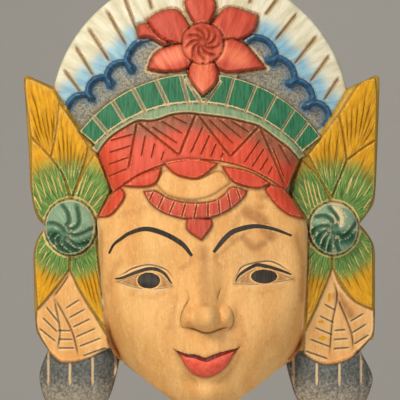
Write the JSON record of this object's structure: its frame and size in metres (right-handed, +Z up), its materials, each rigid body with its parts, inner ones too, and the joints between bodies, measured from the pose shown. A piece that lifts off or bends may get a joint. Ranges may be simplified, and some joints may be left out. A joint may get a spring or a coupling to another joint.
{
  "type": "wall mask",
  "caption": "Carved and painted wooden wall mask of a crowned female face with a rayed fan crown, leaf wings, rosettes and bell pendants, hollow behind, hung flat on a wall.",
  "frame": {"origin": "on the flat back, where it lies on the wall, between the nail hole and the hollow", "axes": "+Z up, +Y into the wall, so the face looks along -Y, +X to the viewer's right"},
  "size_m": [0.2024, 0.065, 0.2565],
  "materials": {
    "painted_wood": "light carving wood, thinly painted in red, green, yellow, blue and white, worn on its edges"
  },
  "bodies": {
    "root": {"mask": "painted_wood"}
  },
  "joints": []
}
